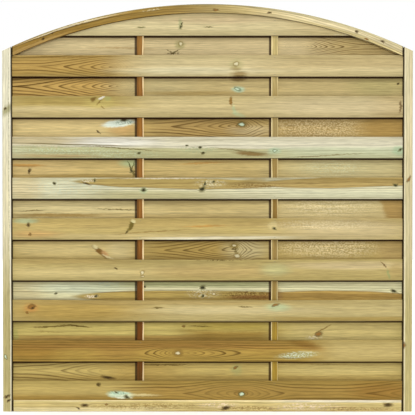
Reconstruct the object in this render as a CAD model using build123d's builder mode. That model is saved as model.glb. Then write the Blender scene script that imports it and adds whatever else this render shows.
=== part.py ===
from build123d import *

import os
from math import asin, degrees, floor, sqrt

# Arched fence panel: a grooved softwood frame filled with hit-and-miss slats.
# X runs along the fence, Y from the front face to the back, Z up, in millimetres.
# The origin is the middle of the panel's bottom edge.

# Overall sizes
PANEL_WIDTH = 1800.0  # over the outer sides of the stiles
CROWN_HEIGHT = 1790.0  # to the top of the arch
SIDE_HEIGHT = 1585.0  # to the outer top corner of each stile

# Frame timbers
FRAME_FACE = 40.0  # face width of the stiles and of the arch rail
BOTTOM_RAIL_HEIGHT = 50.0
LIP_THICKNESS = 8.0  # wall in front of and behind the groove
GROOVE_DEPTH = 10.0
FRAME_BEVEL = 2.5  # eased long edges
WEATHER_BEVEL = 5.0  # on both top edges of the bottom rail
SHOULDER_GAP = 3.0  # between a rail's shoulder and the stile
TENON_CLEARANCE = 0.3  # on each cheek of a stub tenon

# Slats and battens
SLAT_WIDTH = 95.0
SLAT_THICKNESS = 8.0
SLAT_BEVEL = 1.2  # eased long edges
SLAT_CLEARANCE = 0.5  # between a slat's face and the wall of the groove
END_CLEARANCE = 2.0  # between a slat's end and the floor of the groove
FULL_ROWS = 17  # rows of full-width slats, which end where the arch springs from the stiles
SPRING_LAP = 2.2  # how far the last full row runs up past the spring, into the arch rail
LEAST_SHOWN = 30.0  # no slat shows a narrower strip than this under the crown
BATTEN_WIDTH = 30.0
BATTEN_THICKNESS = 12.0
BATTEN_SPACING = 590.0  # between the centre lines of the two battens
BATTEN_BEVEL = 1.2

# Staples: two where a slat crosses a batten, two on the back of each corner joint
STAPLE_CROWN = 11.0  # over the outsides of the legs
STAPLE_WIRE = 1.3  # square wire
STAPLE_LEG = 16.0
STAPLE_EDGE = 11.0  # from a slat's edge to the middle of the crown
CORNER_STAPLE_SPACING = 12.0
STAPLE_CLEARANCE = 0.05

# Sections that follow from the sizes above
GROOVE_WIDTH = 2 * SLAT_THICKNESS + BATTEN_THICKNESS + 2 * SLAT_CLEARANCE
FRAME_DEPTH = GROOVE_WIDTH + 2 * LIP_THICKNESS
SLAT_MIDDLE_Y = (BATTEN_THICKNESS + SLAT_THICKNESS) / 2
SLAT_FACE_Y = BATTEN_THICKNESS / 2 + SLAT_THICKNESS

# The arch is a circle through the crown and the stiles' outer top corners
ARCH_RISE = CROWN_HEIGHT - SIDE_HEIGHT
ARCH_OUTER = ((PANEL_WIDTH / 2) ** 2 + ARCH_RISE**2) / (2 * ARCH_RISE)
ARCH_INNER = ARCH_OUTER - FRAME_FACE
ARCH_CENTRE_Z = CROWN_HEIGHT - ARCH_OUTER
ARCH_AXIS = Axis((0, 0, ARCH_CENTRE_Z), (0, 1, 0))
ARCH_HALF_ANGLE = degrees(asin(PANEL_WIDTH / 2 / ARCH_OUTER))

# Places along the panel
STILE_INNER_X = PANEL_WIDTH / 2 - FRAME_FACE
GROOVE_FLOOR_X = STILE_INNER_X + GROOVE_DEPTH
SHOULDER_X = STILE_INNER_X - SHOULDER_GAP
TENON_LENGTH = GROOVE_FLOOR_X - SHOULDER_X
TENON_WIDTH = GROOVE_WIDTH - 2 * TENON_CLEARANCE
BATTEN_PLACES = (-BATTEN_SPACING / 2, BATTEN_SPACING / 2)

# The space that slats and battens are cut to fill, inside the grooves
FILL_HALF_WIDTH = GROOVE_FLOOR_X - END_CLEARANCE
FILL_BOTTOM = BOTTOM_RAIL_HEIGHT - GROOVE_DEPTH
FILL_RADIUS = ARCH_INNER + GROOVE_DEPTH - END_CLEARANCE

# Rows of slats, from the bottom: even rows lie in front of the battens, odd rows behind.
# The full rows are spread evenly up to the spring, each lapping the next, and the same step
# carries on under the arch.
SPRING_Z = ARCH_CENTRE_Z + sqrt(FILL_RADIUS**2 - FILL_HALF_WIDTH**2)
ROW_STEP = (SPRING_Z + SPRING_LAP - SLAT_WIDTH - FILL_BOTTOM) / (FULL_ROWS - 1)
ROW_COUNT = floor((CROWN_HEIGHT - FRAME_FACE - LEAST_SHOWN - FILL_BOTTOM) / ROW_STEP) + 1


def in_front(row):
    """Whether a row of slats lies in front of the battens."""
    return row % 2 == 0


def row_edges(row):
    """Heights of a row's lower and upper edge: the top board runs up into the arch."""
    lower = FILL_BOTTOM + row * ROW_STEP
    upper = CROWN_HEIGHT if row == ROW_COUNT - 1 else lower + SLAT_WIDTH
    return lower, upper


def arch_underside(x):
    """Height of the arch rail's underside at a distance x from the middle."""
    return ARCH_CENTRE_Z + sqrt(ARCH_INNER**2 - x**2)


def staple_heights(row, x):
    """Heights of the staples where a row crosses a batten: one near each edge that shows."""
    lower, upper = row_edges(row)
    shown = min(upper, arch_underside(x)) - lower
    if shown > 2 * STAPLE_EDGE + 2 * STAPLE_WIRE:
        return [lower + STAPLE_EDGE, lower + shown - STAPLE_EDGE]
    return [lower + shown / 2] if shown > 4 * STAPLE_WIRE else []


def staple_places(row, x):
    """Planes on a row's outer face, one per staple, with the crown along X."""
    side = -1 if in_front(row) else 1
    return [
        Plane(origin=(x, side * SLAT_FACE_Y, z), x_dir=(1, 0, 0), z_dir=(0, side, 0))
        for z in staple_heights(row, x)
    ]


def staple_shape(clearance):
    """A staple, its crown on the XY plane and its legs down, grown by a clearance all round."""
    width = STAPLE_CROWN + 2 * clearance
    wire = STAPLE_WIRE + 2 * clearance
    crown = STAPLE_WIRE + clearance
    with BuildPart() as shape:
        Box(width, wire, STAPLE_LEG + clearance, align=(Align.CENTER, Align.CENTER, Align.MAX))
        with Locations((0, 0, -crown)):
            Box(
                width - 2 * wire,
                wire,
                STAPLE_LEG,
                align=(Align.CENTER, Align.CENTER, Align.MAX),
                mode=Mode.SUBTRACT,
            )
    return shape.part


def cut_shoulders():
    """Cut the rail's ends back to their shoulders, which leaves a stub tenon at each end."""
    cheek = (FRAME_DEPTH - TENON_WIDTH) / 2
    with GridLocations(SHOULDER_X + GROOVE_FLOOR_X, FRAME_DEPTH - cheek, 2, 2):
        Box(TENON_LENGTH, cheek, 2 * CROWN_HEIGHT, mode=Mode.SUBTRACT)


# Outlines seen from the front: the arch's outer line, and what slats and battens are cut to
with BuildSketch(Plane.XZ) as arch_outline:
    with Locations((0, ARCH_CENTRE_Z)):
        Circle(ARCH_OUTER)

with BuildSketch(Plane.XZ) as fill_outline:
    with Locations((0, ARCH_CENTRE_Z)):
        Circle(FILL_RADIUS)
    with Locations((0, FILL_BOTTOM)):
        Rectangle(
            2 * FILL_HALF_WIDTH,
            CROWN_HEIGHT,
            align=(Align.CENTER, Align.MIN),
            mode=Mode.INTERSECT,
        )

# One staple and the hole it is driven into
staple = staple_shape(0)
staple_hole = staple_shape(STAPLE_CLEARANCE)

# Places of the corner staples, which bridge the gap between each rail's shoulder and the stile
TENON_RADIUS = (ARCH_INNER + GROOVE_DEPTH + ARCH_OUTER) / 2
CORNER_X = SHOULDER_X + SHOULDER_GAP / 2
CORNER_HEIGHTS = (FILL_BOTTOM / 2, ARCH_CENTRE_Z + sqrt(TENON_RADIUS**2 - CORNER_X**2))
corner_places = [
    Plane(origin=(x, FRAME_DEPTH / 2, z + shift), x_dir=(1, 0, 0), z_dir=(0, 1, 0))
    for x in (-CORNER_X, CORNER_X)
    for z in CORNER_HEIGHTS
    for shift in (-CORNER_STAPLE_SPACING / 2, CORNER_STAPLE_SPACING / 2)
]

os.makedirs("parts", exist_ok=True)

# Stiles: grooved on the inner side, with eased long edges and the top cut along the arch
for side, sign in (("left", -1), ("right", 1)):
    with BuildPart() as stile:
        with BuildSketch() as stile_section:
            with Locations((sign * (PANEL_WIDTH - FRAME_FACE) / 2, 0)):
                Rectangle(FRAME_FACE, FRAME_DEPTH)
            chamfer(stile_section.vertices(), FRAME_BEVEL)
            with Locations((sign * STILE_INNER_X, 0)):
                Rectangle(2 * GROOVE_DEPTH, GROOVE_WIDTH, mode=Mode.SUBTRACT)
        extrude(amount=CROWN_HEIGHT)
        extrude(arch_outline.sketch, amount=FRAME_DEPTH, both=True, mode=Mode.INTERSECT)
        with Locations(*corner_places):
            add(staple_hole, mode=Mode.SUBTRACT)
    stile.part.label = f"{side}_stile"
    export_step(stile.part, f"parts/{side}_stile.step")

# Arch rail: half the grooved section's sweep round the arch's centre, mirrored, then its tenons
with BuildPart() as arch_rail:
    with BuildSketch(Plane.YZ) as arch_section:
        with Locations((0, CROWN_HEIGHT - FRAME_FACE / 2)):
            Rectangle(FRAME_DEPTH, FRAME_FACE)
        chamfer(arch_section.vertices(), FRAME_BEVEL)
        with Locations((0, CROWN_HEIGHT - FRAME_FACE)):
            Rectangle(GROOVE_WIDTH, 2 * GROOVE_DEPTH, mode=Mode.SUBTRACT)
    revolve(axis=ARCH_AXIS, revolution_arc=ARCH_HALF_ANGLE)
    mirror(about=Plane.YZ)
    Box(2 * GROOVE_FLOOR_X, FRAME_DEPTH, 2 * CROWN_HEIGHT, mode=Mode.INTERSECT)
    cut_shoulders()
    with Locations(*corner_places):
        add(staple_hole, mode=Mode.SUBTRACT)
arch_rail.part.label = "arch_rail"
export_step(arch_rail.part, "parts/arch_rail.step")

# Bottom rail: grooved on top, with a bevel on both top edges that sheds water
with BuildPart() as bottom_rail:
    with BuildSketch(Plane.YZ) as rail_section:
        Rectangle(FRAME_DEPTH, BOTTOM_RAIL_HEIGHT, align=(Align.CENTER, Align.MIN))
        corners = rail_section.vertices().group_by(Axis.Y)
        chamfer(corners[0], FRAME_BEVEL)
        chamfer(corners[-1], WEATHER_BEVEL)
        with Locations((0, BOTTOM_RAIL_HEIGHT)):
            Rectangle(GROOVE_WIDTH, 2 * GROOVE_DEPTH, mode=Mode.SUBTRACT)
    extrude(amount=GROOVE_FLOOR_X, both=True)
    cut_shoulders()
    with Locations(*corner_places):
        add(staple_hole, mode=Mode.SUBTRACT)
bottom_rail.part.label = "bottom_rail"
export_step(bottom_rail.part, "parts/bottom_rail.step")

# Battens: from the bottom rail's groove up into the arch rail's, between the two layers of slats
for side, x in zip(("left", "right"), BATTEN_PLACES):
    with BuildPart() as batten:
        with BuildSketch(Plane.XY.offset(FILL_BOTTOM)) as batten_section:
            with Locations((x, 0)):
                Rectangle(BATTEN_WIDTH, BATTEN_THICKNESS)
            chamfer(batten_section.vertices(), BATTEN_BEVEL)
        extrude(amount=CROWN_HEIGHT)
        extrude(fill_outline.sketch, amount=FRAME_DEPTH, both=True, mode=Mode.INTERSECT)
        for row in range(ROW_COUNT):
            with Locations(*staple_places(row, x)):
                add(staple_hole, mode=Mode.SUBTRACT)
    batten.part.label = f"{side}_batten"
    export_step(batten.part, f"parts/{side}_batten.step")

# Slats: planed boards with eased edges, cut to the grooves, scribed to the arch at the top
for row in range(ROW_COUNT):
    lower, upper = row_edges(row)
    layer = "front" if in_front(row) else "rear"
    middle_y = -SLAT_MIDDLE_Y if in_front(row) else SLAT_MIDDLE_Y
    with BuildPart() as slat:
        with BuildSketch(Plane.YZ) as slat_section:
            with Locations((middle_y, (lower + upper) / 2)):
                Rectangle(SLAT_THICKNESS, upper - lower)
            chamfer(slat_section.vertices(), SLAT_BEVEL)
        extrude(amount=FILL_HALF_WIDTH, both=True)
        extrude(fill_outline.sketch, amount=FRAME_DEPTH, both=True, mode=Mode.INTERSECT)
        for x in BATTEN_PLACES:
            with Locations(*staple_places(row, x)):
                add(staple_hole, mode=Mode.SUBTRACT)
    slat.part.label = f"{layer}_slat_{row // 2 + 1:02d}"
    export_step(slat.part, f"parts/{slat.part.label}.step")

# Staples: one node for the front rows, one for the rear rows and one for the corners
for layer, first_row in (("front", 0), ("rear", 1)):
    with BuildPart() as staples:
        for row in range(first_row, ROW_COUNT, 2):
            for x in BATTEN_PLACES:
                with Locations(*staple_places(row, x)):
                    add(staple)
    staples.part.label = f"{layer}_staples"
    export_step(staples.part, f"parts/{layer}_staples.step")

with BuildPart() as corner_staples:
    with Locations(*corner_places):
        add(staple)
corner_staples.part.label = "corner_staples"
export_step(corner_staples.part, "parts/corner_staples.step")
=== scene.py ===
"""Arched timber fence panel, dressed as planed and pressure-treated pine.

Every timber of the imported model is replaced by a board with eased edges, and each board has its own
cut of wood: growth rings worked out from where its log's pith ran, knots that turn the rings aside,
heartwood, sapwood and the green of the treatment. Lengths in the look of a board are millimetres in
the board's own directions: s along the grain from its middle, t across it, and n through it.
"""

import logging
import math
from dataclasses import dataclass, field, replace
from enum import Enum

import bmesh
import bpy
import numpy as np
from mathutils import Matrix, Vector

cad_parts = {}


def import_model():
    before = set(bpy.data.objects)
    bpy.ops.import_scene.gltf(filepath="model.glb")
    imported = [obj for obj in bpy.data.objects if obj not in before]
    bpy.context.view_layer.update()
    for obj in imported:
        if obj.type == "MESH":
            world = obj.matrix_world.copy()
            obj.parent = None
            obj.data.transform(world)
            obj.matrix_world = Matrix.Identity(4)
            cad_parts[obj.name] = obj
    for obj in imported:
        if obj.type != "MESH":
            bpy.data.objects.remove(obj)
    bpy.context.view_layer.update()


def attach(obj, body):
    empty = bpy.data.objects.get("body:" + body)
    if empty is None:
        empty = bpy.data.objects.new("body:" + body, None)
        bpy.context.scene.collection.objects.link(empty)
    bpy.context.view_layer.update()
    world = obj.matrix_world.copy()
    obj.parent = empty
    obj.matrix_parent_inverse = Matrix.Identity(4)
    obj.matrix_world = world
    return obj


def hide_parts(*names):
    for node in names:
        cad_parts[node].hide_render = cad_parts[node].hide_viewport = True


LOG = logging.getLogger("fence_panel")
MM = 0.001  # metres in a millimetre
Socket = bpy.types.NodeSocket


def linear(hex_colour: str) -> tuple[float, float, float, float]:
    """Turn an sRGB hex colour into linear RGBA.

    Each channel c is c / 12.92 below 0.04045, and ((c + 0.055) / 1.055) to the power 2.4 above it.

    Args:
        hex_colour: six hex digits, such as "c6b380".

    Returns:
        Linear red, green, blue and an alpha of 1.
    """
    channels = (int(hex_colour[i : i + 2], 16) / 255 for i in (0, 2, 4))
    red, green, blue = (c / 12.92 if c <= 0.04045 else ((c + 0.055) / 1.055) ** 2.4 for c in channels)
    return red, green, blue, 1.0


class Run(Enum):
    """Which way a board's grain runs."""

    LEVEL = "along the fence"
    UPRIGHT = "up the fence"
    ARCHED = "round the arch"


class KnotKind(Enum):
    """A knot's branch wood, the bark and resin round it, and the share of the board's colour they cover."""

    SOUND = ("96682e", "5c4018", 0.85)
    DARK = ("3a2a12", "5a4420", 0.85)
    PIN = ("22200e", "6f6a40", 0.9)
    PALE = ("e6deb6", "86703a", 0.75)
    GREEN = ("cfe2c6", "5a5a2e", 0.85)

    def __init__(self, middle: str, rim: str, strength: float) -> None:
        """Name the three values."""
        self.middle = middle
        self.rim = rim
        self.strength = strength


SOUND, DARK, PIN, PALE, GREEN = KnotKind


@dataclass(frozen=True)
class Knot:
    """A branch that runs through the board: its middle, half-length and half-width (mm)."""

    s: float
    t: float
    along: float
    across: float
    kind: KnotKind = SOUND
    turn: float = 0.0  # degrees, from the grain towards +t


@dataclass(frozen=True)
class Stain:
    """An oval area where the wood's colour changes: its middle, half-length and half-width (mm)."""

    s: float
    t: float
    along: float
    across: float
    colour: str
    strength: float = 0.8
    soft: float = 0.6  # how far its edge fades to either side, as a share of its size
    turn: float = 0.0  # degrees, from the grain towards +t
    speckled: bool = False
    oblong: bool = False


@dataclass(frozen=True)
class Streak(Stain):
    """A stain with straight sides."""

    oblong: bool = True


@dataclass(frozen=True)
class Speckle(Stain):
    """A stain broken into specks, as where the saw left the wood rough."""

    speckled: bool = True


@dataclass(frozen=True)
class Swell:
    """A place where the saw grazes a ring, so that the rings close round it in nested points (mm)."""

    s: float
    t: float
    left: float
    right: float
    across: float
    height: float


@dataclass(frozen=True)
class Figure:
    """How the board lay in its log (mm): where the pith ran and how wide the rings are."""

    pith_across: float
    pith_depth: float
    taper: float = 0.004
    spacing: float = 12.0
    contrast: float = 0.2
    fades: tuple[tuple[float, float], ...] = ()  # the lines die away from the first s of a pair to the second


@dataclass(frozen=True)
class PineFinish:
    """Planed, pressure-treated pine: matt, with darker latewood lines and a faint green tint."""

    ground: str
    figure: Figure
    swells: tuple[Swell, ...] = ()
    stains: tuple[Stain, ...] = ()
    knots: tuple[Knot, ...] = ()
    seed: float = 0.0
    bands: float = 0.13  # contrast of the wide colour bands along the grain
    fibres: float = 0.22  # contrast of the fine streaks
    hairs: float = 0.22  # darkness of the hairlines
    crown: float = 0.3  # how much painted shade darkens the outer face towards its edges, as if it were crowned
    roughness: float = 0.68


@dataclass(frozen=True)
class SlatLook(PineFinish):
    """One slat's wood and how far its middle hangs (mm)."""

    sag: float = 0.0


@dataclass(frozen=True)
class Lumps:
    """Noise with lumps of a real size (mm)."""

    length: float
    width: float
    detail: float = 2.0  # octaves of finer noise
    shift: float = 0.0  # moves this noise away from the board's others


@dataclass(frozen=True)
class EdgeShade:
    """A strip of painted shade along a slat's edge."""

    edge: int  # sign of t at that edge
    inner: bool  # whether it lies on the face that the other layer laps over
    begin: float  # how far from the edge it begins and is full (mm)
    full: float
    share: float
    colour: str
    crown_shaded: bool = False  # whether its share is of the finish's crown, the painted shade of a crowned face


# painted shadow: the dark line in the gap under a lap, on a lower arris and beside a batten
GAP_SHADOW = "2a1002"
# painted shadow in the gaps at joints and along the frame's inner arrises
JOINT_SHADOW = "241808"
# painted shade: a flat face darkened towards its edges as if crowned
CROWN_SHADE = "76672a"
SHADE_DARK = "54441a"
# painted shade where a board's edge goes behind the other layer
TUCKED_SHADE = "7d5e2a"
LATEWOOD = "543a12"

# Painted shade on the outer face: darker towards both edges as if crowned, with a painted shadow line on its
# lower arris; then on the inner face: painted shade at the tucked edge, painted shade below the lap and a
# dark painted shadow line at the lap
EDGE_SHADES = (
    EdgeShade(-1, False, 36.0, 10.0, 0.8, CROWN_SHADE, crown_shaded=True),
    EdgeShade(1, False, 36.0, 6.0, 0.8, CROWN_SHADE, crown_shaded=True),
    EdgeShade(-1, False, 3.0, 1.2, 0.7, GAP_SHADOW),
    EdgeShade(-1, True, 17.0, 5.0, 0.15, TUCKED_SHADE),
    EdgeShade(1, True, 36.0, 11.0, 0.35, SHADE_DARK),
    EdgeShade(1, True, 15.0, 11.0, 0.96, GAP_SHADOW),
)


class NodeBench:
    """The node tree of a material or a world while it is being wired."""

    def __init__(self, owner: bpy.types.Material | bpy.types.World) -> None:
        """Start with the owner's tree empty."""
        owner.use_nodes = True
        self.owner = owner
        self.tree = owner.node_tree
        self.tree.nodes.clear()

    def add(self, kind: str, inputs: dict, output: int | str = 0, **settings) -> Socket:
        """Add a node with its settings and links.

        Args:
            kind: the node's type name after "ShaderNode".
            inputs: input name or index to a constant or to the socket that feeds it.
            output: the output to hand back.
            **settings: the node's own properties.

        Returns:
            The output socket.
        """
        node = self.tree.nodes.new(f"ShaderNode{kind}")
        for name, value in settings.items():
            setattr(node, name, value)
        for key, value in inputs.items():
            if isinstance(value, Socket):
                self.tree.links.new(value, node.inputs[key])
            else:
                node.inputs[key].default_value = value
        return node.outputs[output]

    def finish(self, surface: Socket, output: str = "ShaderNodeOutputMaterial") -> None:
        """Feed the tree's output.

        Args:
            surface: the finished surface or background.
            output: the output node's type name.
        """
        out = self.tree.nodes.new(output)
        self.tree.links.new(surface, out.inputs["Surface"])


# A Mix node of colours keeps its factor, first and second colour and result at these places
MIX_FACTOR, MIX_FIRST, MIX_SECOND, MIX_RESULT = 0, 6, 7, 2


@dataclass
class PineShader:
    """Wires one board's pine from its finish.

    The rings' distance from the pith is hypot(t - pith, n + depth) + taper * s, less the swells and
    a bump at each knot, and latewood is the dark end of each ring's width.
    """

    name: str
    finish: PineFinish
    run: Run
    middle: tuple[float, float, float]  # where s, t and n are zero, in the panel's frame (mm)
    arch_radius: float = 0.0  # radius of the arch's middle line (mm)
    joint: float = math.inf  # how far out the joint lies, whose gap gets a line of painted shadow (mm)
    edge: float = math.inf  # how far across t a slat's edges lie (mm)
    inside: int = 1  # sign of n on the slat's face that the other layer laps over
    batten_shadows: tuple[float, ...] = ()  # where along s a painted shadow line runs beside a batten on that face (mm)
    arris: int = 0  # sign of t at a frame timber's inner arrises, which carry a painted shadow along the joint
    arris_shadow: float = 0.92  # how dark the painted shadow on them is
    bench: NodeBench = field(init=False)

    SEED_STEP = (37.1, 11.7)  # how far apart two boards lie in their noises
    WANDER = Lumps(190.0, 34.0)  # how the grain wanders, and how far (mm)
    WANDER_REACH = (10.0, 5.0, 4.0)
    RAG = Lumps(14.0, 7.0)  # how ragged a mark's edge is, likewise
    RAG_REACH = (8.0, 5.0, 0.0)
    BANDS = Lumps(620.0, 26.0, shift=9.0)
    FIBRES = Lumps(60.0, 2.4, detail=3.0, shift=3.0)  # 2.4 mm wide: real ones are too fine to show
    HAIRS = Lumps(330.0, 4.0, detail=1.0, shift=17.0)  # dark resin lines, 4 mm wide for the same reason
    RELIEF = Lumps(60.0, 2.4, shift=13.0)
    SPECKS = Lumps(8.0, 5.0, shift=5.0)
    NOISE_SPAN = (0.25, 0.75)  # where noise turns from its least to its most
    HAIR_SPAN = (0.6, 0.72)
    SPECK_SPAN = (0.42, 0.62)
    LONG_STAIN = 250.0  # half-length above which a stain's edge is smooth (mm)
    LATE_RISE = (0.45, 0.88)  # shares of a ring over which latewood builds up, and ends
    LATE_END = (0.92, 1.0)
    LATE_LEAST = 0.3  # the faintest ring's share of the darkest
    FADED = 0.15  # what is left of the lines where they have died away
    KNOT_REACH = 2.6  # how far a knot turns the rings aside, in its own sizes
    KNOT_RIM = (0.85, 1.65)  # where a knot's rim and middle fade, in its own sizes
    KNOT_MIDDLE = (0.4, 0.95)
    RIM_SHARE = 0.85
    THROUGH = 1e6  # half-depth of a mark, which runs right through the board (mm)
    JOINT_BEGIN, JOINT_FULL, JOINT_SHARE = 4.5, 2.5, 0.96  # the painted shadow line at a joint, in mm from it
    ARRIS_SPAN = (16.3, 17.8)  # where the painted shadow on an arris begins and is full across t, and through n (mm)
    ARRIS_SKIN = (16.5, 18.5)
    BATTEN_SHADOW_SPAN = (7.5, 4.0)  # the painted shadow beside a batten, in mm from its side
    BATTEN_SHADOW_SHARE = 0.85
    LATE_RELIEF = 0.5  # how far latewood stands up, as a share of the fibres' relief
    RELIEF_HEIGHT = 0.6  # mm
    RELIEF_STRENGTH = 0.25
    SMOOTHER, ROUGHER = 0.1, 0.14  # how far the roughness strays
    SPECULAR = 0.12  # dry sawn fibres hardly shine

    def material(self) -> bpy.types.Material:
        """Wire the whole finish.

        Returns:
            The board's material.
        """
        self.bench = NodeBench(bpy.data.materials.new(self.name))
        place = self._board_place()
        flow = self._wandering(place, self.WANDER, self.WANDER_REACH)
        ragged = self._wandering(flow, self.RAG, self.RAG_REACH)
        late = self._latewood(self._ring_distance(flow))
        colour = self._ground(flow, ragged)
        colour = self._darkened(colour, late, flow)
        colour = self._streaked(colour, flow)
        for knot in self.finish.knots:
            colour = self._knotted(colour, ragged, knot)
        colour = self._shaded_edges(colour, place)
        self._surface(colour, late, flow)
        return self.bench.owner

    def _board_place(self) -> Socket:
        """Give s, t and n in mm: straight boards shift the frame, and the arch unrolls about its centre."""
        add = self.bench.add
        metres = add("TexCoord", {}, "Object")
        frame = add("VectorMath", {0: metres, "Scale": 1 / MM}, operation="SCALE")
        centred = add("VectorMath", {0: frame, 1: self.middle}, operation="SUBTRACT")
        split = add("SeparateXYZ", {0: centred}, "X").node
        if self.run is not Run.ARCHED:
            order = ("X", "Z", "Y") if self.run is Run.LEVEL else ("Z", "X", "Y")
            s, t, n = (split.outputs[axis] for axis in order)
            return add("CombineXYZ", {"X": s, "Y": t, "Z": n})
        angle = add("Math", {0: split.outputs["X"], 1: split.outputs["Z"]}, operation="ARCTAN2")
        along = add("Math", {0: angle, 1: self.arch_radius}, operation="MULTIPLY")
        flat = add("CombineXYZ", {"X": split.outputs["X"], "Y": split.outputs["Z"]})
        reach = add("VectorMath", {0: flat}, "Value", operation="LENGTH")
        across = add("Math", {0: reach, 1: self.arch_radius}, operation="SUBTRACT")
        return add("CombineXYZ", {"X": along, "Y": across, "Z": split.outputs["Y"]})

    def _lumpy(self, place: Socket, lumps: Lumps, output: str = "Fac") -> Socket:
        """Lay noise on the board, stretched to its real size along s, t and n.

        Args:
            place: the coordinates it is laid on.
            lumps: its size.
            output: "Fac" for one value, "Color" for three.

        Returns:
            The noise, about one half on average.
        """
        add = self.bench.add
        s, t = (self.finish.seed * step + lumps.shift for step in self.SEED_STEP)
        scale = (1 / lumps.length, 1 / lumps.width, 1 / lumps.width)
        sized = add("Mapping", {"Vector": place, "Location": (s, t, lumps.shift), "Scale": scale})
        return add("TexNoise", {"Vector": sized, "Scale": 1.0, "Detail": lumps.detail}, output)

    def _wandering(self, place: Socket, lumps: Lumps, reach: tuple[float, float, float]) -> Socket:
        """Shift the board's coordinates by noise, as grain wanders and the edges of a mark are ragged.

        Args:
            place: the coordinates to shift.
            lumps: the noise.
            reach: the largest shift along s, t and n (mm).

        Returns:
            The shifted coordinates.
        """
        add = self.bench.add
        noise = self._lumpy(place, lumps, "Color")
        centred = add("VectorMath", {0: noise, 1: (0.5, 0.5, 0.5)}, operation="SUBTRACT")
        sized = add("VectorMath", {0: centred, 1: tuple(2 * c for c in reach)}, operation="MULTIPLY")
        return add("VectorMath", {0: place, 1: sized}, operation="ADD")

    def _oval(self, flow: Socket, mark: Stain | Knot, grow: float = 1.0, oblong: bool = False) -> Socket:
        """Give the distance from a mark's middle as a share of its half-length and half-width.

        Args:
            flow: the board's coordinates.
            mark: the stain or knot.
            grow: enlarges the mark.
            oblong: takes the larger of the two shares, in place of their hypotenuse.

        Returns:
            0 in the middle, 1 on the mark's outline.
        """
        add = self.bench.add
        local = add(
            "Mapping",
            {
                "Vector": flow,
                "Location": (mark.s, mark.t, 0),
                "Rotation": (0, 0, math.radians(mark.turn)),
                "Scale": (mark.along * grow, mark.across * grow, self.THROUGH),
            },
            vector_type="TEXTURE",
        )
        if not oblong:
            return add("VectorMath", {0: local}, "Value", operation="LENGTH")
        plain = add("VectorMath", {0: local}, operation="ABSOLUTE")
        split = add("SeparateXYZ", {0: plain}, "X").node
        return add("Math", {0: split.outputs["X"], 1: split.outputs["Y"]}, operation="MAXIMUM")

    def _painted(self, colour: Socket | tuple, over: str, value: Socket, span: tuple[float, float],
                 shares: tuple[float, float], within: Socket | None = None) -> Socket:
        """Lay a colour over the wood by a share that changes smoothly with some measure.

        Args:
            colour: the wood so far.
            over: the colour that is laid over it.
            value: the measure.
            span: where on it the change starts and ends.
            shares: the share before the change and after it.
            within: a further share that limits it, if any.

        Returns:
            The painted wood.
        """
        add = self.bench.add
        ends = {"From Min": span[0], "From Max": span[1], "To Min": shares[0], "To Max": shares[1]}
        share = add("MapRange", {"Value": value, **ends}, interpolation_type="SMOOTHSTEP")
        if within is not None:
            share = add("Math", {0: share, 1: within}, operation="MULTIPLY")
        mixed = {MIX_FACTOR: share, MIX_FIRST: colour, MIX_SECOND: linear(over)}
        return add("Mix", mixed, MIX_RESULT, data_type="RGBA")

    def _ring_distance(self, flow: Socket) -> Socket:
        """Give the rings' distance from the pith in mm, with swells and knots."""
        add = self.bench.add
        figure = self.finish.figure
        split = add("SeparateXYZ", {0: flow}, "X").node
        pith = (0, -figure.pith_across, figure.pith_depth)
        from_pith = add("VectorMath", {0: flow, 1: pith}, operation="ADD")
        radial = add("VectorMath", {0: from_pith, 1: (0, 1, 1)}, operation="MULTIPLY")
        rings = add("VectorMath", {0: radial}, "Value", operation="LENGTH")
        rings = add("Math", {0: split.outputs["X"], 1: figure.taper, 2: rings}, operation="MULTIPLY_ADD")
        for swell in self.finish.swells:
            along = add("Math", {0: split.outputs["X"], 1: swell.s}, operation="SUBTRACT")
            right = add("Math", {0: along, 1: swell.right}, operation="DIVIDE")
            left = add("Math", {0: along, 1: -swell.left}, operation="DIVIDE")
            share = add("Math", {0: right, 1: left}, operation="MAXIMUM")
            over = add("Math", {0: split.outputs["Y"], 1: swell.t}, operation="SUBTRACT")
            across = add("Math", {0: over, 1: swell.across}, operation="DIVIDE")
            flat = add("CombineXYZ", {"X": share, "Y": across})
            reach = add("VectorMath", {0: flat}, "Value", operation="LENGTH")
            rings = self._lowered(rings, reach, swell.height)
        for knot in self.finish.knots:
            reach = self._oval(flow, knot, grow=self.KNOT_REACH)
            rings = self._lowered(rings, reach, knot.across + figure.spacing)
        return rings

    def _lowered(self, rings: Socket, reach: Socket, height: float) -> Socket:
        """Lower the rings by height * (1 - d)^2 round a place.

        Args:
            rings: the distance so far.
            reach: d, which is 1 on the place's outline.
            height: how far they are lowered in its middle (mm).

        Returns:
            The lowered distance.
        """
        add = self.bench.add
        near = add("MapRange", {"Value": reach, "To Min": 1.0, "To Max": 0.0})
        squared = add("Math", {0: near, 1: 2.0}, operation="POWER")
        return add("Math", {0: squared, 1: -height, 2: rings}, operation="MULTIPLY_ADD")

    def _latewood(self, rings: Socket) -> Socket:
        """Give the latewood's darkness: it builds up over a ring and ends sharply, and no two rings match."""
        add = self.bench.add
        phase = add("Math", {0: rings, 1: self.finish.figure.spacing}, operation="DIVIDE")
        part = add("Math", {0: phase}, operation="FRACT")
        shares = []
        for (start, end), first, last in ((self.LATE_RISE, 0.0, 1.0), (self.LATE_END, 1.0, 0.0)):
            ends = {"From Min": start, "From Max": end, "To Min": first, "To Max": last}
            shares.append(add("MapRange", {"Value": part, **ends}, interpolation_type="SMOOTHSTEP"))
        dark = add("Math", {0: shares[0], 1: shares[1]}, operation="MULTIPLY")
        number = add("Math", {0: phase}, operation="FLOOR")
        seeded = add("Math", {0: number, 1: self.finish.seed}, operation="ADD")
        chance = add("TexWhiteNoise", {"W": seeded}, "Value", noise_dimensions="1D")
        weight = add("MapRange", {"Value": chance, "To Min": self.LATE_LEAST, "To Max": 1.0})
        return add("Math", {0: dark, 1: weight}, operation="MULTIPLY")

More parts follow.
